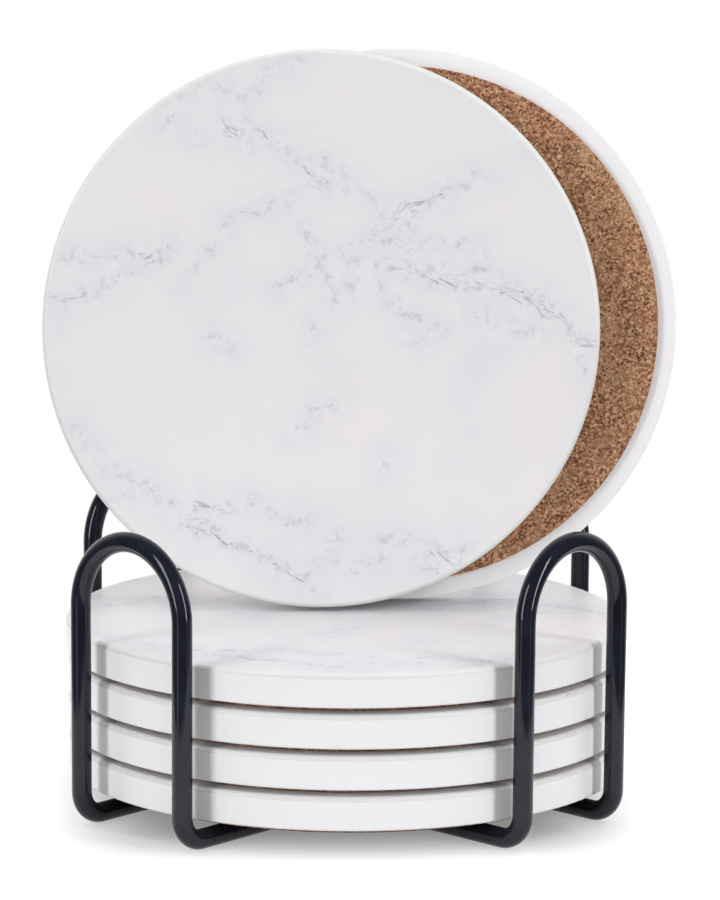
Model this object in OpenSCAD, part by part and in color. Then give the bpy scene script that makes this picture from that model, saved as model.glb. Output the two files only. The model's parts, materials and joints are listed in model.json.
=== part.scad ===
// Drink coaster set: round ceramic tiles on cork discs, in a rack of bent wire.
// Four coasters lie in the rack and two stand on edge on top of them, back to back.
// The origin is on the table under the centre of the rack, and the front faces -Y.

/* [Coaster] */
// Diameter of a ceramic tile
tile_d = 101.6; // [90:0.2:110]
// Thickness of a tile
tile_t = 5.9; // [4:0.1:8]
// Radius that rounds the face of a tile over to its side
tile_edge_r = 0.85; // [0.4:0.05:1.5]
// Radius of the crisp edge round the underside of a tile
tile_foot_r = 0.25; // [0.1:0.05:0.4]
// Width of the bare rim that the cork leaves on the underside of a tile
cork_inset = 3.4; // [1.5:0.1:6]
// Thickness of a cork disc
cork_t = 1.2; // [0.8:0.1:3]
// Radius that the die leaves on the lower edge of a cork disc
cork_edge_r = 0.3; // [0.1:0.05:0.5]

/* [Wire rack] */
// Diameter of the bent wire
wire_d = 3.5; // [2.6:0.1:4]
// Play between the rim of a coaster and the plane of an arch
rim_play = 0.95; // [0.3:0.05:1.5]
// Distance between the middles of the two legs of an arch
leg_gap = 25; // [18:0.5:30]
// Height from the table to the top of an arch
arch_h = 54; // [52:0.5:70]
// Radius, at the middle of the wire, of the bend from a leg to the base
bend_r = 4.6; // [4:0.1:7]
// Diameter of the bead that runs round a weld
weld_d = 1.2; // [0.8:0.1:1.6]

/* [Flat stack] */
// Furthest that a coaster of the stack slips off the centre of the rack
stack_slip = 0.75; // [0:0.05:1.1]

/* [Upright pair] */
// Angle that the two upright coasters lean back
lean = 5.8; // [2:0.1:9]
// Angle that they turn to the right, seen from the front
turn = -2.1; // [-8:0.1:8]
// Where the rim of the front one rests, to the right of the centre of the rack
seat_x = -4.1; // [-12:0.1:0]
// Where the rim of the front one rests, behind the centre of the rack
seat_y = 5.2; // [0:0.1:10]
// Distance that the back one stands to the right of the front one
pair_shift = 14.6; // [0:0.1:16]

/* [Fits] */
// Space under a round rim, or over a round wire, where it rests
rest_gap = 0.3; // [0.1:0.05:0.4]
// Space between the cork faces of the upright pair
pair_gap = 0.1; // [0.05:0.05:0.3]
// Space that the weld fills between two butted wires
weld_gap = 0.05; // [0.02:0.01:0.1]

/* [Hidden] */

$fn = 72;

// Places of the four stacked coasters as shares of stack_slip, from the bottom up
slip_shares = [[1, -0.3], [0.97, -0.36], [0.98, -0.26], [0.5, -0.3]];

tile_r = tile_d / 2;
cork_r = tile_r - cork_inset;
coaster_t = tile_t + cork_t;

// The middle of every base wire is half a wire above the table
base_z = wire_d / 2;
leg_u = tile_r + rim_play + wire_d / 2;
bend_u = leg_u - bend_r;
bend_z = base_z + bend_r;
arch_r = leg_gap / 2;
spring_z = arch_h - wire_d / 2 - arch_r;

// The lowest cork lies on the base wires, and each coaster on the one below
stack_z = wire_d + rest_gap;
stack_top = stack_z + len(slip_shares) * coaster_t;

// How far the middle of the front upright tile's underside is above and behind its seat
rise = (tile_r - tile_foot_r) * cos(lean) - tile_foot_r * sin(lean) + tile_foot_r;
setback = (tile_r - tile_foot_r) * sin(lean) + tile_foot_r * cos(lean);
// The back one is this far behind the front one, and this much higher in their plane
pair_depth = 2 * cork_t + pair_gap;
pair_climb = (pair_depth + tile_t) * tan(lean);

glaze_white = [0.95, 0.95, 0.96];
cork_brown = [0.68, 0.50, 0.36];
wire_black = [0.12, 0.13, 0.17];

// What an edge of radius r leaves of a square corner that points to +X and +Y
module rounded_corner(r) {
    intersection() {
        circle(r = r);
        square(r);
    }
}

// Half of the section through a tile, with its underside at zero
module tile_section() {
    face_r = tile_r - tile_edge_r;
    foot_r = tile_r - tile_foot_r;
    side_top = tile_t - tile_edge_r;
    square([face_r, tile_t]);
    square([foot_r, side_top]);
    translate([0, tile_foot_r])
        square([tile_r, side_top - tile_foot_r]);
    translate([face_r, side_top])
        rounded_corner(tile_edge_r);
    translate([foot_r, tile_foot_r])
        mirror([0, 1])
            rounded_corner(tile_foot_r);
}

// A glazed tile, face up, with the middle of its underside at the origin
module tile() {
    color(glaze_white)
        rotate_extrude()
            tile_section();
}

// A die-cut cork disc, glued to the underside of a tile
module cork() {
    color(cork_brown)
        translate([0, 0, -cork_t])
            rotate_extrude()
                difference() {
                    square([cork_r, cork_t]);
                    translate([cork_r - cork_edge_r, 0])
                        difference() {
                            square(cork_edge_r);
                            translate([0, cork_edge_r])
                                circle(r = cork_edge_r);
                        }
                }
}

// Puts a coaster at its level in the flat stack, counted from 1 at the bottom
module in_stack(level) {
    shift = stack_slip * slip_shares[level - 1];
    translate([shift[0], shift[1], stack_z + (level - 1) * coaster_t + cork_t])
        children();
}

// Stands a coaster on edge at the front of the pair, with its face to -Y
module front_upright() {
    translate([seat_x, seat_y, stack_top + rest_gap])
        rotate([0, 0, turn])
            translate([0, setback, rise])
                rotate([90 - lean, 0, 0])
                    children();
}

// Stands a coaster against the back of the front one, turned round so that the corks meet
module back_upright() {
    front_upright()
        translate([pair_shift, pair_climb, -pair_depth])
            rotate([0, 180, 0])
                children();
}

// One straight length of wire along +X, on the base plane, from u1 to u2
module base_wire(u1, u2) {
    translate([u1, 0, base_z])
        rotate([0, 90, 0])
            cylinder(d = wire_d, h = u2 - u1);
}

// The bend that turns a base wire up into a leg, and the leg itself
module bent_leg() {
    translate([bend_u, 0, bend_z])
        rotate([90, 0, 0])
            rotate([0, 0, -90])
                rotate_extrude(angle = 90)
                    translate([bend_r, 0])
                        circle(d = wire_d);
    translate([leg_u, 0, bend_z])
        cylinder(d = wire_d, h = spring_z - bend_z);
}

// One arch of the rack at the +X end of a loop, standing on its two bent legs
module arch() {
    for (side = [-1, 1])
        translate([0, side * arch_r, 0])
            bent_leg();
    translate([leg_u, 0, spring_z])
        rotate([90, 0, 90])
            rotate_extrude(angle = 180)
                translate([arch_r, 0])
                    circle(d = wire_d);
}

// The bead round the butted end of a base wire, where it meets the loop
module weld_bead() {
    translate([arch_r + wire_d / 2 + weld_gap, 0, base_z])
        rotate([0, 90, 0])
            rotate_extrude()
                translate([wire_d / 2, 0])
                    circle(d = weld_d);
}

// The closed loop runs from the front left arch to the back right one
module rack_loop() {
    color(wire_black)
        rotate([0, 0, 45]) {
            for (end = [0, 180])
                rotate([0, 0, end])
                    arch();
            for (side = [-1, 1])
                translate([0, side * arch_r, 0])
                    base_wire(-bend_u, bend_u);
        }
}

// A hairpin crosses the other diagonal, and its two ends are coped to the side of the loop
module hairpin() {
    color(wire_black)
        difference() {
            union() {
                arch();
                for (side = [-1, 1])
                    translate([0, side * arch_r, 0]) {
                        base_wire(arch_r, bend_u);
                        weld_bead();
                    }
            }
            translate([arch_r, 0, base_z])
                rotate([90, 0, 0])
                    cylinder(d = wire_d + 2 * weld_gap, h = 2 * leg_gap, center = true);
            // The bead is dressed level with the wire below, where it would rock the rack,
            // and above, where the lowest coaster lies
            for (z = [-weld_d, wire_d])
                translate([0, -leg_gap, z])
                    cube([leg_gap, 2 * leg_gap, weld_d]);
        }
}

module rack_front_hairpin() {
    rotate([0, 0, -45])
        hairpin();
}

module rack_back_hairpin() {
    rotate([0, 0, 135])
        hairpin();
}

rack_loop();
rack_front_hairpin();
rack_back_hairpin();
in_stack(1) tile();  // stack_tile_1
in_stack(1) cork();  // stack_cork_1
in_stack(2) tile();  // stack_tile_2
in_stack(2) cork();  // stack_cork_2
in_stack(3) tile();  // stack_tile_3
in_stack(3) cork();  // stack_cork_3
in_stack(4) tile();  // stack_tile_4
in_stack(4) cork();  // stack_cork_4
front_upright() tile();  // front_tile
front_upright() cork();  // front_cork
back_upright() tile();  // back_tile
back_upright() cork();  // back_cork
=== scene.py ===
import json
import math

import bmesh
import bpy
from mathutils import Matrix, Vector


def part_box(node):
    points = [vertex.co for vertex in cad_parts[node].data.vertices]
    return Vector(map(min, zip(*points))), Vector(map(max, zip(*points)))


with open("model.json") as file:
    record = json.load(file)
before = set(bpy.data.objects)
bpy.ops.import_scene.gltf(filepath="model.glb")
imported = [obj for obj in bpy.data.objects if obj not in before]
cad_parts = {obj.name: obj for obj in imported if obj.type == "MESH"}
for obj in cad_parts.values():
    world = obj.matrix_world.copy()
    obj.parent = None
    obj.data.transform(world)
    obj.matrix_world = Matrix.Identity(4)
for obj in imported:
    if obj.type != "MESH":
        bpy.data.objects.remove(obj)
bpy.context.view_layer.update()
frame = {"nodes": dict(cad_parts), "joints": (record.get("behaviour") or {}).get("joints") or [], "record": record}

# The wire rack: one closed loop and two hairpins of round steel wire, bent cold and butt
# welded where they cross under the stack, then powder coated in a blue-black gloss. The
# coat is thick and even, with the faint orange-peel ripple that such a coat sets with.
MM = 0.001
WIRE_NODES = ["rack_loop", "rack_front_hairpin", "rack_back_hairpin"]
WIRE_BLACK = (0.0085, 0.0095, 0.0165, 1)
WIRE_BLUE = (0.0115, 0.013, 0.024, 1)
# Sizes of the blobs in which its tone, its gloss and its ripple vary, in millimetres
TONE_SIZE = 6.0
WEAR_SIZE = 2.5
PEEL_SIZE = 1.6
PEEL_DEPTH = 0.0008 * MM
COAT_ROUGHNESS = (0.07, 0.11)
COAT_IOR = 1.45
COAT_SPECULAR = 0.4
# Nearly all values of a cloudy noise lie between the first two, and most between the others
NOISE_SPAN = (0.3, 0.7)
NOISE_MIDDLE = (0.35, 0.65)


def new_material(name):
    """An empty material, its node tree and its surface shader."""
    material = bpy.data.materials.new(name)
    material.use_nodes = True
    tree = material.node_tree
    tree.nodes.clear()
    shader = tree.nodes.new("ShaderNodeBsdfPrincipled")
    output = tree.nodes.new("ShaderNodeOutputMaterial")
    tree.links.new(shader.outputs["BSDF"], output.inputs["Surface"])
    return material, tree, shader


def put(tree, kind, inputs=(), **settings):
    """Adds a node. inputs gives sockets or values by the names or numbers of its inputs."""
    made = tree.nodes.new("ShaderNode" + kind)
    for name, value in settings.items():
        setattr(made, name, value)
    for name, value in dict(inputs).items():
        if isinstance(value, bpy.types.NodeSocket):
            tree.links.new(value, made.inputs[name])
        else:
            made.inputs[name].default_value = value
    return made


def spread(tree, value, low, high, at_low=0.0, at_high=1.0):
    """value from low to high, eased to at_low to at_high and held outside."""
    inputs = {"Value": value, "From Min": low, "From Max": high, "To Min": at_low, "To Max": at_high}
    return put(tree, "MapRange", inputs, interpolation_type="SMOOTHSTEP").outputs["Result"]


def noise(tree, place, size, detail=2.0, **inputs):
    """Cloudy noise with blobs of about that size, in the units of place."""
    inputs = {"Vector": place, "Scale": 1 / size, "Detail": detail, **inputs}
    return put(tree, "TexNoise", inputs)


def mixed(tree, factor, first, second):
    """One colour blended into another."""
    made = put(tree, "Mix", {"Factor": factor}, data_type="RGBA")
    for socket, value in ((made.inputs[6], first), (made.inputs[7], second)):
        if isinstance(value, bpy.types.NodeSocket):
            tree.links.new(value, socket)
        else:
            socket.default_value = value
    return made.outputs[2]


def roughen(tree, shader, height, depth, strength=1.0):
    """Gives the surface a fine relief of that depth."""
    bump = put(tree, "Bump", {"Height": height, "Distance": depth, "Strength": strength})
    tree.links.new(bump.outputs[0], shader.inputs["Normal"])


def in_millimetres(tree):
    """The place on a piece, in millimetres."""
    place = put(tree, "TexCoord").outputs["Object"]
    return put(tree, "Mapping", {"Vector": place, "Scale": (1 / MM,) * 3}).outputs["Vector"]


def powder_coat():
    material, tree, shader = new_material("wire powder coat")
    place = in_millimetres(tree)
    tone = spread(tree, noise(tree, place, TONE_SIZE).outputs[0], *NOISE_MIDDLE)
    tree.links.new(mixed(tree, tone, WIRE_BLACK, WIRE_BLUE), shader.inputs["Base Color"])
    worn = noise(tree, place, WEAR_SIZE, detail=3.0).outputs[0]
    tree.links.new(spread(tree, worn, *NOISE_SPAN, *COAT_ROUGHNESS), shader.inputs["Roughness"])
    roughen(tree, shader, noise(tree, place, PEEL_SIZE, detail=1.0).outputs[0], PEEL_DEPTH)
    shader.inputs["IOR"].default_value = COAT_IOR
    shader.inputs["Specular IOR Level"].default_value = COAT_SPECULAR
    return material


def wear(names, material):
    """Gives these CAD pieces that finish."""
    for name in names:
        frame["nodes"][name].material_slots[0].material = material


wear(WIRE_NODES, powder_coat())

# The ceramic tiles: pressed discs, glazed bright white all over and fired. Each face is
# printed with the same fine grey marble pattern under a satin glaze. The sides and the
# underside keep the plain white glaze, a little greyer underneath. The rounded edge of the
# face is painted a darker cream: a cream tint, with painted shade for the rim.
STACK_LEVELS = (1, 2, 3, 4)
UP = Vector((0, 0, 1))
BACK = Vector((0, 1, 0))
GLAZE_WHITE = (0.83, 0.825, 0.84, 1)
# Painted shade: the darker cream laid on the rounded edge of the face
EDGE_SHADE_CREAM = (0.675, 0.672, 0.65, 1)
GLAZE_UNDER = (0.79, 0.785, 0.80, 1)
FACE_WHITE = (0.705, 0.697, 0.713, 1)
FACE_BLUSH = (0.725, 0.696, 0.713, 1)
FACE_CLOUD = (0.645, 0.636, 0.68, 1)
VEIN_GREY = (0.34, 0.34, 0.415, 1)
# How far below the face the print fades out, and how far up the side the underside's tone
# reaches, in millimetres
PRINT_END = (0.88, 0.80)
UNDER_REACH = 0.5
# Where the painted rim shade in cream comes in, from the rim inwards and from the face down, and how strong it is
EDGE_SHADE_INWARD = (0.9, 0.6)
EDGE_SHADE_BELOW = (0.9, 0.7)
EDGE_SHADE_SHARE = 0.8
# The gloss of the face and of the sides, and the size of the patches in which it varies
SATIN_ROUGHNESS = (0.36, 0.46)
SIDE_ROUGHNESS = (0.30, 0.36)
SHEEN_SIZE = 3.0
GLAZE_IOR = 1.5
# The glaze lies in a slow ripple, which is deeper than the fine grain that the print adds
RIPPLE_SIZE = 7.0
RIPPLE_TIMES = 3.0
GRAIN_SIZE = 0.35
GLAZE_DEPTH = 0.002 * MM
# Every vein is drawn by points across the face: right, up and how far it has faded there
VEINS = [
    [(-18.2, 37.5, 0.1), (-15.9, 35.3, 0.0), (-13.2, 33.5, 0.3)],
    [(-13.4, 37.6, 0.1), (-10.9, 35.7, 0.1), (-8.6, 33.5, 0.2), (-5.5, 31.2, 0.3), (-2.7, 28.9, 0.0),
     (0.0, 26.2, 0.0), (1.6, 25.4, 0.2)],
    [(-3.2, 30.4, 0.3), (0.5, 30.0, 0.2), (3.2, 28.0, 0.1), (4.6, 26.0, 0.3), (7.7, 24.5, 0.7),
     (11.0, 21.8, 0.9)],
    [(-29.0, 36.4, 0.4), (-26.8, 38.0, 0.2), (-24.1, 36.2, 0.5), (-22.3, 34.4, 0.8)],
    [(-29.5, 40.5, 0.8), (-25.0, 43.0, 0.5), (-21.4, 43.9, 0.7), (-17.7, 44.4, 0.7)],
    [(-18.2, 42.6, 0.6), (-15.0, 41.6, 0.3), (-12.6, 43.0, 0.6), (-10.5, 45.7, 0.5), (-6.8, 47.1, 0.7),
     (-4.1, 49.6, 0.7)],
    [(-16.6, 20.2, 0.2), (-14.5, 21.4, 0.1), (-11.8, 21.2, 0.1), (-9.5, 22.5, 0.3), (-7.3, 23.6, 0.3),
     (-5.0, 24.4, 0.6)],
    [(-16.8, 19.5, 0.5), (-18.2, 15.3, 0.3), (-22.3, 12.5, 0.6), (-25.0, 8.0, 0.8)],
    [(-49.5, 13.2, 0.5), (-40.5, 13.1, 0.5), (-35.9, 13.7, 0.2), (-31.4, 13.4, 0.0),
     (-27.3, 15.4, 0.4)],
    [(-49.8, 4.9, 0.1), (-45.9, 5.3, 0.0), (-43.2, 5.9, 0.0), (-40.5, 7.5, 0.4), (-37.3, 8.9, 0.2),
     (-35.0, 10.3, 0.3), (-30.6, 12.6, 0.0), (-28.9, 12.6, 0.2)],
    [(-3.4, 17.6, 0.2), (-2.6, 15.8, 0.1), (0.0, 12.5, 0.2), (0.9, 8.9, 0.1), (2.3, 5.7, 0.1),
     (3.4, 4.9, 0.3)],
    [(1.8, 5.4, 0.1), (3.4, 5.0, 0.2), (4.6, 5.4, 0.2), (5.2, 8.6, 0.3)],
    [(-8.4, 7.4, 0.1), (-5.0, 8.9, 0.1), (-1.4, 10.3, 0.2), (1.4, 12.5, 0.2), (3.2, 13.9, 0.3),
     (6.8, 15.7, 0.2), (10.5, 17.5, 0.0), (13.2, 20.3, 0.0), (15.5, 22.5, 0.0), (20.5, 24.4, 0.0),
     (23.2, 26.2, 0.2)],
    [(13.6, 18.6, 0.4), (16.0, 21.2, 0.3), (21.6, 23.0, 0.4), (28.6, 28.8, 0.5), (30.2, 28.0, 0.8)],
    [(10.8, 16.8, 0.2), (13.6, 15.6, 0.1), (16.4, 16.6, 0.2), (15.8, 18.6, 0.4)],
    [(3.2, 13.5, 0.4), (5.9, 12.5, 0.3), (9.5, 11.6, 0.3), (13.2, 12.1, 0.1), (16.8, 10.7, 0.1),
     (20.5, 8.9, 0.0), (24.1, 8.0, 0.0), (28.6, 8.0, 0.0), (32.3, 7.5, 0.0), (36.8, 6.2, 0.0),
     (40.5, 4.4, 0.0), (44.1, 1.6, 0.0), (46.8, -1.1, 0.0), (50.6, -2.2, 0.0)],
    [(10.5, 12.8, 0.3), (15.0, 11.8, 0.3), (20.5, 11.3, 0.4), (25.9, 10.3, 0.2), (29.5, 10.5, 0.2),
     (35.0, 8.2, 0.2), (41.4, 5.6, 0.1), (43.2, 2.2, 0.2)],
    [(15.0, 15.3, 0.6), (20.5, 15.7, 0.5), (25.9, 15.3, 0.3), (28.6, 14.2, 0.4)],
    [(10.7, 10.4, 0.2), (11.3, 6.2, 0.1), (14.5, 3.5, 0.3), (18.6, 1.6, 0.2), (23.2, -0.2, 0.6)],
    [(15.4, 1.6, 0.5), (16.3, -1.0, 0.4), (17.7, -2.2, 0.6)],
    [(26.8, 3.5, 0.3), (31.4, 2.5, 0.3), (35.9, 0.3, 0.3), (39.5, -0.2, 0.5)],
    [(47.3, -5.6, 0.4), (48.3, -8.0, 0.1), (49.6, -9.5, 0.1)],
    [(-0.9, 1.2, 0.5), (-1.6, -0.4, 0.4), (-1.9, -1.4, 0.6)],
    [(-20.4, -1.7, 0.7), (-18.5, -2.2, 0.5), (-16.6, -3.4, 0.7)],
    [(1.6, -14.5, 0.1), (-1.0, -15.0, 0.3), (-4.3, -18.6, 0.6)],
    [(-1.6, -13.6, 0.5), (0.2, -15.2, 0.2)],
    [(11.5, -24.9, 0.5), (12.8, -22.7, 0.5)],
    [(-44.3, -18.2, 0.7), (-40.5, -22.9, 0.6), (-37.7, -26.3, 0.5), (-34.1, -27.3, 0.2),
     (-31.4, -28.6, 0.1), (-27.7, -32.0, 0.3), (-25.0, -34.7, 0.2), (-22.3, -37.0, 0.0),
     (-18.6, -38.4, 0.0), (-14.1, -40.2, 0.1), (-10.5, -41.3, 0.2), (-6.8, -43.8, 0.1),
     (-3.2, -46.1, 0.0), (0.2, -47.6, 0.3)],
    [(-41.2, -29.2, 0.3), (-38.6, -31.0, 0.2), (-35.8, -30.1, 0.4)],
    [(-24.8, -34.6, 0.1), (-22.3, -32.3, 0.0), (-18.6, -32.9, 0.1), (-15.9, -32.4, 0.2),
     (-12.3, -30.6, 0.3), (-9.5, -33.6, 0.3), (-6.8, -35.5, 0.1), (-3.2, -35.1, 0.4)],
    [(-22.6, -35.4, 0.1), (-20.6, -35.2, 0.1), (-17.8, -37.0, 0.2)],
    [(2.5, -37.3, 0.5), (1.4, -41.1, 0.4), (-1.4, -43.8, 0.3), (-2.7, -46.6, 0.3)],
    [(2.0, -42.2, 0.6), (6.8, -43.8, 0.4), (11.4, -42.0, 0.6)],
    [(11.4, -38.4, 0.4), (15.9, -38.4, 0.2), (20.5, -39.5, 0.1), (23.8, -42.0, 0.0),
     (25.6, -43.8, 0.2)],
    [(18.6, -42.4, 0.3), (21.0, -43.4, 0.2), (24.0, -44.6, 0.3)],
    [(26.2, -39.0, 0.3), (25.4, -42.0, 0.1)],
]
# What the third number of a point stands for, in millimetres of distance from the vein
FADED = 1.1
# Further than any place on the face is from a vein
FAR_OFF = 50.0
# The drawing is crinkled, then broken into short straight strokes: how long the crinkles
# and the strokes are, how far the crinkles push, in millimetres, and how far strokes turn
CRINKLE_SIZE = 8.0
CRINKLE_PUSH = 2.4
STROKE_SIZE = 3.0
STROKE_TURN = 0.7
# The drawing is traced more than once: how far strokes jump, in millimetres, and how dark
TRACES = ((0.45, 0.85), (2.0, 0.65))
# How far apart the traces cut the net of strokes, so that no two break alike
TRACE_STEP = 17.0
# A vein swells from one half width to the other, and fades between two multiples of that
SWELL_SIZE = 1.8
SWELL_SPAN = (0.35, 0.75)
VEIN_WIDTH = (0.10, 0.34)
VEIN_EDGE = (0.3, 1.3)
# Some strokes are faint, and so are the veins in some patches
STROKE_SPAN = (0.1, 0.6)
STROKE_FAINT = 0.35
PATCH_SIZE = 3.2
PATCH_SPAN = (0.32, 0.55)
PATCH_FAINT = 0.3
# Smudges lie along the veins, and a haze round them: how far they reach, and how dark
SMUDGE_SIZE = 1.7
SMUDGE_SPAN = (0.48, 0.68)
SMUDGE_REACH = (0.2, 2.2)
SMUDGE_DARK = 0.42
HAZE_REACH = (0.2, 7.0)
HAZE_DARK = (0.2, 0.7)
# The ground drifts from white to a blush, with pale clouds of its own
DRIFT_SIZE = 30.0
DRIFT_SPAN = (0.48, 0.66)
CLOUD_SIZE = 20.0
CLOUD_SPAN = (0.5, 0.75)
CLOUD_DARK = 0.6


def maths(tree, operation, *values):
    """The result of one sum on numbers or sockets."""
    return put(tree, "Math", enumerate(values), operation=operation).outputs[0]


def flattened(tree, place):
    """place, moved onto the plane of the face."""
    return put(tree, "VectorMath", {0: place, 1: (1, 1, 0)}, operation="MULTIPLY").outputs[0]


def pushed(tree, place, colour, push):
    """place, moved up to half of push each way by a colour."""
    inputs = {0: colour, 1: (0.5, 0.5, 0.5)}
    centred = put(tree, "VectorMath", inputs, operation="SUBTRACT").outputs[0]
    scaled = put(tree, "VectorMath", {0: centred, 3: push}, operation="SCALE").outputs[0]
    return put(tree, "VectorMath", {0: place, 1: scaled}).outputs[0]


def new_group(name, kind):
    """An empty node group: its tree, its place on the face, and where its result goes."""
    tree = bpy.data.node_groups.new(name, "ShaderNodeTree")
    tree.interface.new_socket("Place", in_out="INPUT", socket_type="NodeSocketVector")
    tree.interface.new_socket("Result", in_out="OUTPUT", socket_type="NodeSocket" + kind)
    entry = tree.nodes.new("NodeGroupInput")
    exit_node = tree.nodes.new("NodeGroupOutput")
    return tree, flattened(tree, entry.outputs[0]), exit_node.inputs[0]


def vein_distance(tree, place, points):
    """How far place is from one vein, in millimetres, with its faded stretches further off."""
    start = Vector(points[0][:2])
    end = Vector(points[-1][:2])
    along = (end - start).normalized()
    stops = [(Vector(point[:2]) - start).dot(along) for point in points]
    inputs = {0: place, 1: (*along, 0)}
    reach = put(tree, "VectorMath", inputs, operation="DOT_PRODUCT").outputs["Value"]
    inputs = {"Value": reach, "From Min": start.dot(along), "From Max": end.dot(along)}
    share = put(tree, "MapRange", inputs).outputs["Result"]
    line = put(tree, "VectorCurve", {"Vector": share})
    line.mapping.use_clip = False
    for axis, curve in enumerate(line.mapping.curves):
        scale = FADED if axis == 2 else 1
        places = [(stop / stops[-1], point[axis] * scale) for stop, point in zip(stops, points)]
        while len(curve.points) < len(places):
            curve.points.new(0, 0)
        for knot, where in zip(curve.points, places):
            knot.location = where
            knot.handle_type = "VECTOR"
    line.mapping.update()
    inputs = {0: place, 1: line.outputs[0]}
    return put(tree, "VectorMath", inputs, operation="DISTANCE").outputs["Value"]


def vein_lines():
    """How far a place is from the nearest drawn vein, in millimetres."""
    tree, place, result = new_group("vein lines", "Float")
    nearest = FAR_OFF
    for points in VEINS:
        nearest = maths(tree, "MINIMUM", nearest, vein_distance(tree, place, points))
    tree.links.new(nearest, result)
    return tree


def traced(tree, crinkled, layer, jump, lines):
    """One trace of the drawing: its distance, and which strokes of it are dark."""
    net = put(tree, "VectorMath", {0: crinkled, 1: (0, 0, TRACE_STEP * layer)}).outputs[0]
    cells = put(tree, "TexVoronoi", {"Vector": net, "Scale": 1 / STROKE_SIZE})
    chance = put(tree, "SeparateColor", {0: cells.outputs["Color"]}).outputs
    angle = maths(tree, "MULTIPLY_ADD", chance[2], STROKE_TURN, -STROKE_TURN / 2)
    inputs = {"Vector": net, "Center": cells.outputs["Position"], "Angle": angle}
    stroke = put(tree, "VectorRotate", inputs).outputs[0]
    stroke = pushed(tree, stroke, cells.outputs["Color"], jump)
    off = put(tree, "Group", {0: stroke}, node_tree=lines).outputs[0]
    return off, spread(tree, chance[0], *STROKE_SPAN, STROKE_FAINT, 1.0)


def marble_print():
    """The printed pattern: its colour, from the place on the face in millimetres."""
    lines = vein_lines()
    tree, flat, result = new_group("marble print", "Color")
    wobble = noise(tree, flat, CRINKLE_SIZE, detail=3.0, Roughness=0.55).outputs["Color"]
    crinkled = flattened(tree, pushed(tree, flat, wobble, CRINKLE_PUSH))
    # The veins are thin, and swell, break up and thin out along their way
    swell = noise(tree, flat, SWELL_SIZE).outputs[0]
    patch = noise(tree, flat, PATCH_SIZE).outputs[0]
    width = spread(tree, swell, *SWELL_SPAN, *VEIN_WIDTH)
    core = 0.0
    distances = []
    for layer, (jump, strength) in enumerate(TRACES):
        off, dark = traced(tree, crinkled, layer, jump, lines)
        distances.append(off)
        trace = spread(tree, maths(tree, "DIVIDE", off, width), *VEIN_EDGE, strength, 0.0)
        core = maths(tree, "MAXIMUM", core, maths(tree, "MULTIPLY", trace, dark))
    core = maths(tree, "MULTIPLY", core, spread(tree, patch, *PATCH_SPAN, PATCH_FAINT, 1.0))
    # Smudges lie along them, and a wide pale haze round those
    nearest = distances[0]
    blot = noise(tree, crinkled, SMUDGE_SIZE, detail=3.0, Roughness=0.65).outputs[0]
    blot = spread(tree, blot, *SMUDGE_SPAN, 0.0, SMUDGE_DARK)
    smudge = maths(tree, "MULTIPLY", spread(tree, nearest, *SMUDGE_REACH, 1.0, 0.0), blot)
    mist = spread(tree, patch, *NOISE_SPAN, *HAZE_DARK)
    haze = maths(tree, "MULTIPLY", spread(tree, nearest, *HAZE_REACH, 1.0, 0.0), mist)
    drift = noise(tree, flat, DRIFT_SIZE, detail=3.0).outputs[0]
    drift = spread(tree, drift, *DRIFT_SPAN)
    ground = mixed(tree, drift, FACE_WHITE, FACE_BLUSH)
    cloud = noise(tree, flat, CLOUD_SIZE, detail=4.0).outputs[0]
    cloud = spread(tree, cloud, *CLOUD_SPAN, 0.0, CLOUD_DARK)
    ground = mixed(tree, maths(tree, "MAXIMUM", cloud, haze), ground, FACE_CLOUD)
    colour = mixed(tree, maths(tree, "MAXIMUM", core, smudge), ground, VEIN_GREY)
    tree.links.new(colour, result)
    return tree


PRINT = marble_print()


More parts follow.
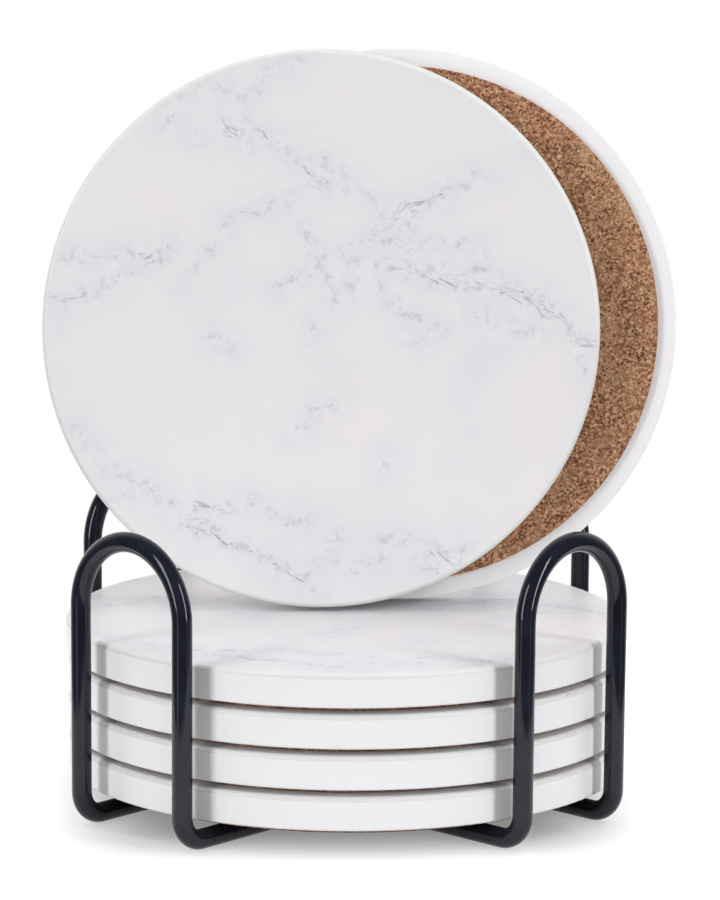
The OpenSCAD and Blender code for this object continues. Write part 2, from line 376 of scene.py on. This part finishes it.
def tile_material(name, middle, normal, up):
    """The finish of one tile, whose pattern lies square to its own middle, face and top."""
    material, tree, shader = new_material(name)
    turned = Matrix((up.cross(normal), up, normal)).transposed()
    inputs = {"Vector": put(tree, "TexCoord").outputs["Object"], "Location": middle,
              "Rotation": turned.to_euler(), "Scale": (MM, MM, MM)}
    place = put(tree, "Mapping", inputs, vector_type="TEXTURE").outputs["Vector"]
    height = put(tree, "SeparateXYZ", {0: place}).outputs[2]
    low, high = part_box("stack_tile_1")
    half = (high.z - low.z) / 2 / MM
    radius = (high.x - low.x) / 2 / MM
    printed = spread(tree, height, half - PRINT_END[0], half - PRINT_END[1])
    pattern = put(tree, "Group", {0: place}, node_tree=PRINT).outputs[0]
    under = spread(tree, height, -half, UNDER_REACH - half, 1.0, 0.0)
    glaze = mixed(tree, under, GLAZE_WHITE, GLAZE_UNDER)
    surface = mixed(tree, printed, glaze, pattern)
    # The rounded edge gets a darker cream: a cream tint, with painted shade for the light falling off round the
    # rim
    out = put(tree, "VectorMath", {0: flattened(tree, place)}, operation="LENGTH").outputs["Value"]
    outer = spread(tree, out, radius - EDGE_SHADE_INWARD[0], radius - EDGE_SHADE_INWARD[1])
    upper = spread(tree, height, half - EDGE_SHADE_BELOW[0], half - EDGE_SHADE_BELOW[1])
    edge_shade = maths(tree, "MULTIPLY", maths(tree, "MULTIPLY", outer, upper), EDGE_SHADE_SHARE)
    tree.links.new(mixed(tree, edge_shade, surface, EDGE_SHADE_CREAM), shader.inputs["Base Color"])
    fine = noise(tree, place, SHEEN_SIZE).outputs[0]
    satin = spread(tree, fine, *NOISE_SPAN, *SATIN_ROUGHNESS)
    side = spread(tree, fine, *NOISE_SPAN, *SIDE_ROUGHNESS)
    rough = put(tree, "Mix", {"Factor": printed, 2: side, 3: satin}).outputs[0]
    tree.links.new(rough, shader.inputs["Roughness"])
    ripple = maths(tree, "MULTIPLY", noise(tree, place, RIPPLE_SIZE).outputs[0], RIPPLE_TIMES)
    grain = noise(tree, place, GRAIN_SIZE, detail=1.0).outputs[0]
    grain = maths(tree, "MULTIPLY", grain, printed)
    roughen(tree, shader, maths(tree, "ADD", ripple, grain), GLAZE_DEPTH)
    shader.inputs["IOR"].default_value = GLAZE_IOR
    return material


def middle_of(name):
    low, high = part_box(name)
    return (low + high) / 2


rest_mount = [m for m in frame["record"]["mounts"] if m["name"] == "glass_rest"][0]
upright_lift = [j for j in frame["joints"] if j["name"] == "front_coaster_lift"][0]
facing = Vector(rest_mount["axis"]).normalized()
upward = Vector(upright_lift["axis"]).normalized()
tile_poses = {f"stack_tile_{level}": (UP, BACK) for level in STACK_LEVELS}
tile_poses["front_tile"] = (facing, upward)
tile_poses["back_tile"] = (-facing, upward)
for name, (normal, up) in tile_poses.items():
    wear([name], tile_material(f"{name} glaze", middle_of(name), normal, up))

# The cork discs: sheets of pressed cork granules, half a millimetre across or less, die cut
# and glued under the tiles. The granules run from pale tan to red-brown, with specks of dark
# bark, and the sanded face is matt and slightly open.
CORK_NODES = [f"stack_cork_{level}" for level in STACK_LEVELS] + ["front_cork", "back_cork"]
CORK_TONES = [(0.15, (0.13, 0.05, 0.025)), (0.35, (0.27, 0.115, 0.060)), (0.5, (0.37, 0.185, 0.10)),
              (0.65, (0.50, 0.275, 0.155)), (0.85, (0.68, 0.45, 0.29))]
CORK_SEAM = (0.20, 0.09, 0.045, 1)
CORK_BARK = (0.07, 0.026, 0.013, 1)
CORK_STRAW = (0.48, 0.33, 0.18, 1)
# Sizes of the granules and the specks, and of the bends in their outlines, in millimetres
GRANULE = 0.40
SPECK = 0.50
BEND_SIZE = 0.5
BEND_PUSH = 0.45
# Each granule has a tone of its own, and a noise inside it makes up the rest
GRANULE_SHARE = 0.55
MOTTLE_SIZE = 0.8
# The seams between granules: how wide, as a share of a granule, and how much they show
SEAM_WIDTH = 0.09
SEAM_SHARE = 0.35
# Some regions are more the colour of straw
STRAW_SIZE = 6.0
STRAW_SPAN = (0.45, 0.7)
STRAW_SHARE = 0.35
# How rare the specks of bark are, how far out they fade, and how dark they are
BARK_SPAN = (0.70, 0.78)
BARK_EDGE = (0.3, 0.6)
BARK_SHARE = 0.85
CORK_ROUGHNESS = 0.92
CORK_SPECULAR = 0.2
# Granules lie at steps of their own, next to the fine pores and the open seams
STEP_SHARE = 0.5
PORE_SIZE = 0.4
CORK_DEPTH = 0.12 * MM
CORK_STRENGTH = 0.8


def cork_material():
    material, tree, shader = new_material("pressed cork")
    place = in_millimetres(tree)
    bend = noise(tree, place, BEND_SIZE).outputs["Color"]
    bent = put(tree, "VectorMath", {0: bend, 3: BEND_PUSH}, operation="SCALE").outputs[0]
    bent = put(tree, "VectorMath", {0: place, 1: bent}).outputs[0]
    granules = put(tree, "TexVoronoi", {"Vector": bent, "Scale": 1 / GRANULE})
    tone = put(tree, "SeparateColor", {0: granules.outputs["Color"]}).outputs
    mottle = noise(tree, place, MOTTLE_SIZE, detail=3.0).outputs[0]
    mottle = maths(tree, "MULTIPLY", mottle, 1 - GRANULE_SHARE)
    blend = maths(tree, "MULTIPLY_ADD", tone[0], GRANULE_SHARE, mottle)
    ramp = put(tree, "ValToRGB", {0: blend})
    while len(ramp.color_ramp.elements) < len(CORK_TONES):
        ramp.color_ramp.elements.new(0.5)
    for element, (at, colour) in zip(ramp.color_ramp.elements, CORK_TONES):
        element.position = at
        element.color = (*colour, 1)
    inputs = {"Vector": bent, "Scale": 1 / GRANULE}
    seams = put(tree, "TexVoronoi", inputs, feature="DISTANCE_TO_EDGE")
    seam = spread(tree, seams.outputs["Distance"], 0.0, SEAM_WIDTH, SEAM_SHARE, 0.0)
    straw = noise(tree, place, STRAW_SIZE, detail=3.0).outputs[0]
    straw = spread(tree, straw, *STRAW_SPAN, 0.0, STRAW_SHARE)
    colour = mixed(tree, seam, mixed(tree, straw, ramp.outputs[0], CORK_STRAW), CORK_SEAM)
    specks = put(tree, "TexVoronoi", {"Vector": bent, "Scale": 1 / SPECK})
    chance = put(tree, "SeparateColor", {0: specks.outputs["Color"]}).outputs[1]
    speck = spread(tree, specks.outputs["Distance"], *BARK_EDGE, 1.0, 0.0)
    bark = maths(tree, "MULTIPLY", spread(tree, chance, *BARK_SPAN), speck)
    colour = mixed(tree, maths(tree, "MULTIPLY", bark, BARK_SHARE), colour, CORK_BARK)
    tree.links.new(colour, shader.inputs["Base Color"])
    shader.inputs["Roughness"].default_value = CORK_ROUGHNESS
    shader.inputs["Specular IOR Level"].default_value = CORK_SPECULAR
    pores = noise(tree, place, PORE_SIZE).outputs[0]
    relief = maths(tree, "ADD", maths(tree, "MULTIPLY", tone[1], STEP_SHARE), pores)
    roughen(tree, shader, maths(tree, "SUBTRACT", relief, seam), CORK_DEPTH, CORK_STRENGTH)
    return material


wear(CORK_NODES, cork_material())

# The table: a plain white sweep. The camera sees it glow less in a painted square of shadow
# close to the rack, where its real shade also shows, and pure white away from the set.
FLOOR_RADIUS = 0.14
FLOOR_SEGMENTS = 96
FLOOR_WHITE = (0.36, 0.36, 0.36, 1)
FLOOR_ROUGHNESS = 0.9
# How far out along each axis the painted shadow fades, and how brightly the sweep glows
# in it and away from it
PAINTED_SHADOW_FADE = (0.031, 0.062)
FLOOR_LIFT = (0.24, 0.88)
BACKGROUND = (1.0, 1.0, 1.0, 1)

sweep_mesh = bmesh.new()
bmesh.ops.create_circle(sweep_mesh, cap_ends=True, radius=FLOOR_RADIUS, segments=FLOOR_SEGMENTS)
sweep = bpy.data.objects.new("table_sweep", bpy.data.meshes.new("table_sweep"))
sweep_mesh.to_mesh(sweep.data)
sweep_mesh.free()
bpy.context.scene.collection.objects.link(sweep)

floor_material, tree, shader = new_material("white sweep")
place = put(tree, "SeparateXYZ", {0: put(tree, "TexCoord").outputs["Object"]}).outputs
# The painted shadow: a soft square round the middle, in which the sweep glows less
painted_shadow = 1.0
for axis in (0, 1):
    off = maths(tree, "ABSOLUTE", place[axis])
    painted_shadow = maths(tree, "MULTIPLY", painted_shadow, spread(tree, off, *PAINTED_SHADOW_FADE, 1.0, 0.0))
rays = put(tree, "LightPath").outputs
seen = maths(tree, "MAXIMUM", rays["Is Camera Ray"], rays["Is Glossy Ray"])
seen = maths(tree, "MAXIMUM", seen, rays["Is Transmission Ray"])
inputs = {"Value": painted_shadow, "To Min": FLOOR_LIFT[1], "To Max": FLOOR_LIFT[0]}
lift = put(tree, "MapRange", inputs).outputs[0]
tree.links.new(maths(tree, "MULTIPLY", seen, lift), shader.inputs["Emission Strength"])
shader.inputs["Emission Color"].default_value = BACKGROUND
shader.inputs["Base Color"].default_value = FLOOR_WHITE
shader.inputs["Roughness"].default_value = FLOOR_ROUGHNESS
shader.inputs["Specular IOR Level"].default_value = 0.0
sweep.data.materials.append(floor_material)

# The light: a tall soft box on each side, which the shoulders of the wire show as narrow
# streaks, a low card on each side for the faint streaks down its legs, a front fill and two
# top boxes, which the wire doesn't show, and a dim room that brightens behind the set.
SET_MIDDLE = Vector((0, 0, 0.05))
# How bright the room is from the front to the back
ROOM_LIGHT = (0.25, 0.85)
ROOM_FADE = (-0.3, 0.6)
# What the room looks like in the glaze and the wire: dark in front and white behind
MIRRORED_FRONT = 0.10
MIRRORED_FADE = (0.1, 0.8)

world = bpy.data.worlds.new("studio")
bpy.context.scene.world = world
world.use_nodes = True
tree = world.node_tree
tree.nodes.clear()
rays = put(tree, "LightPath").outputs
inward = put(tree, "SeparateXYZ", {0: put(tree, "TexCoord").outputs["Generated"]}).outputs[1]
behind = spread(tree, inward, *MIRRORED_FADE, MIRRORED_FRONT, 1.0)
even = spread(tree, inward, *ROOM_FADE, *ROOM_LIGHT)
mirrored = maths(tree, "MAXIMUM", rays["Is Glossy Ray"], rays["Is Transmission Ray"])
strength = put(tree, "Mix", {"Factor": mirrored, 2: even, 3: behind}).outputs[0]
strength = maths(tree, "MAXIMUM", strength, rays["Is Camera Ray"])
background = put(tree, "Background", {"Color": BACKGROUND, "Strength": strength})
output = tree.nodes.new("ShaderNodeOutputWorld")
tree.links.new(background.outputs[0], output.inputs[0])


def way_out(turn, rise):
    """The direction from the set, turned to the right of the front and raised, in degrees."""
    turn = math.radians(turn)
    rise = math.radians(rise)
    across = math.cos(rise)
    return Vector((math.sin(turn) * across, -math.cos(turn) * across, math.sin(rise)))


def soft_box(name, turn, rise, width, height, power, mirrored=True):
    """A rectangular lamp a metre away, aimed at the set: degrees, metres and watts."""
    way = way_out(turn, rise)
    lamp = bpy.data.lights.new(name, "AREA")
    lamp.shape = "RECTANGLE"
    lamp.size = width
    lamp.size_y = height
    lamp.energy = power
    box = bpy.data.objects.new(name, lamp)
    box.location = SET_MIDDLE + way
    box.rotation_euler = way.to_track_quat("Z", "Y").to_euler()
    box.visible_glossy = mirrored
    bpy.context.scene.collection.objects.link(box)


soft_box("left box", turn=-50, rise=18, width=0.26, height=0.8, power=5.4)
soft_box("left card", turn=-49, rise=-9, width=0.20, height=0.25, power=0.24)
soft_box("right box", turn=52, rise=18, width=0.16, height=0.8, power=5.4)
soft_box("right card", turn=54, rise=-9, width=0.06, height=0.25, power=0.1)
soft_box("front fill", turn=0, rise=12, width=1.2, height=0.4, power=1.3, mirrored=False)
soft_box("left top box", turn=-90, rise=58, width=0.6, height=0.6, power=2.1, mirrored=False)
soft_box("right top box", turn=90, rise=58, width=0.6, height=0.6, power=3.0, mirrored=False)

# The camera: a long lens 0.6 m from the set, nine degrees above the table and a hair to the
# left of square, rolled by half a degree.
VIEW_TARGET = Vector((2.857, -0.13, 62.2)) * MM
VIEW_DISTANCE = 0.6
VIEW_TURN = 2.6
VIEW_DROP = 9.07
VIEW_ROLL = math.radians(0.45)
# The focal length in pixels of the picture, whose height the sensor is fitted to
LENS_PIXELS = 3306
PHOTO_HEIGHT = 900
SENSOR = 36.0

forward = -way_out(-VIEW_TURN, VIEW_DROP)
right = forward.cross(UP).normalized()
top = right.cross(forward)
rolled_right = right * math.cos(VIEW_ROLL) + top * math.sin(VIEW_ROLL)
rolled_top = top * math.cos(VIEW_ROLL) - right * math.sin(VIEW_ROLL)
turned = Matrix((rolled_right, rolled_top, -forward)).transposed().to_4x4()
camera_data = bpy.data.cameras.new("camera")
camera_data.sensor_fit = "VERTICAL"
camera_data.sensor_height = SENSOR
camera_data.lens = SENSOR * LENS_PIXELS / PHOTO_HEIGHT
camera = bpy.data.objects.new("camera", camera_data)
camera.matrix_world = Matrix.Translation(VIEW_TARGET - forward * VIEW_DISTANCE) @ turned
bpy.context.scene.collection.objects.link(camera)
bpy.context.scene.camera = camera
bpy.context.scene.view_settings.view_transform = "Standard"
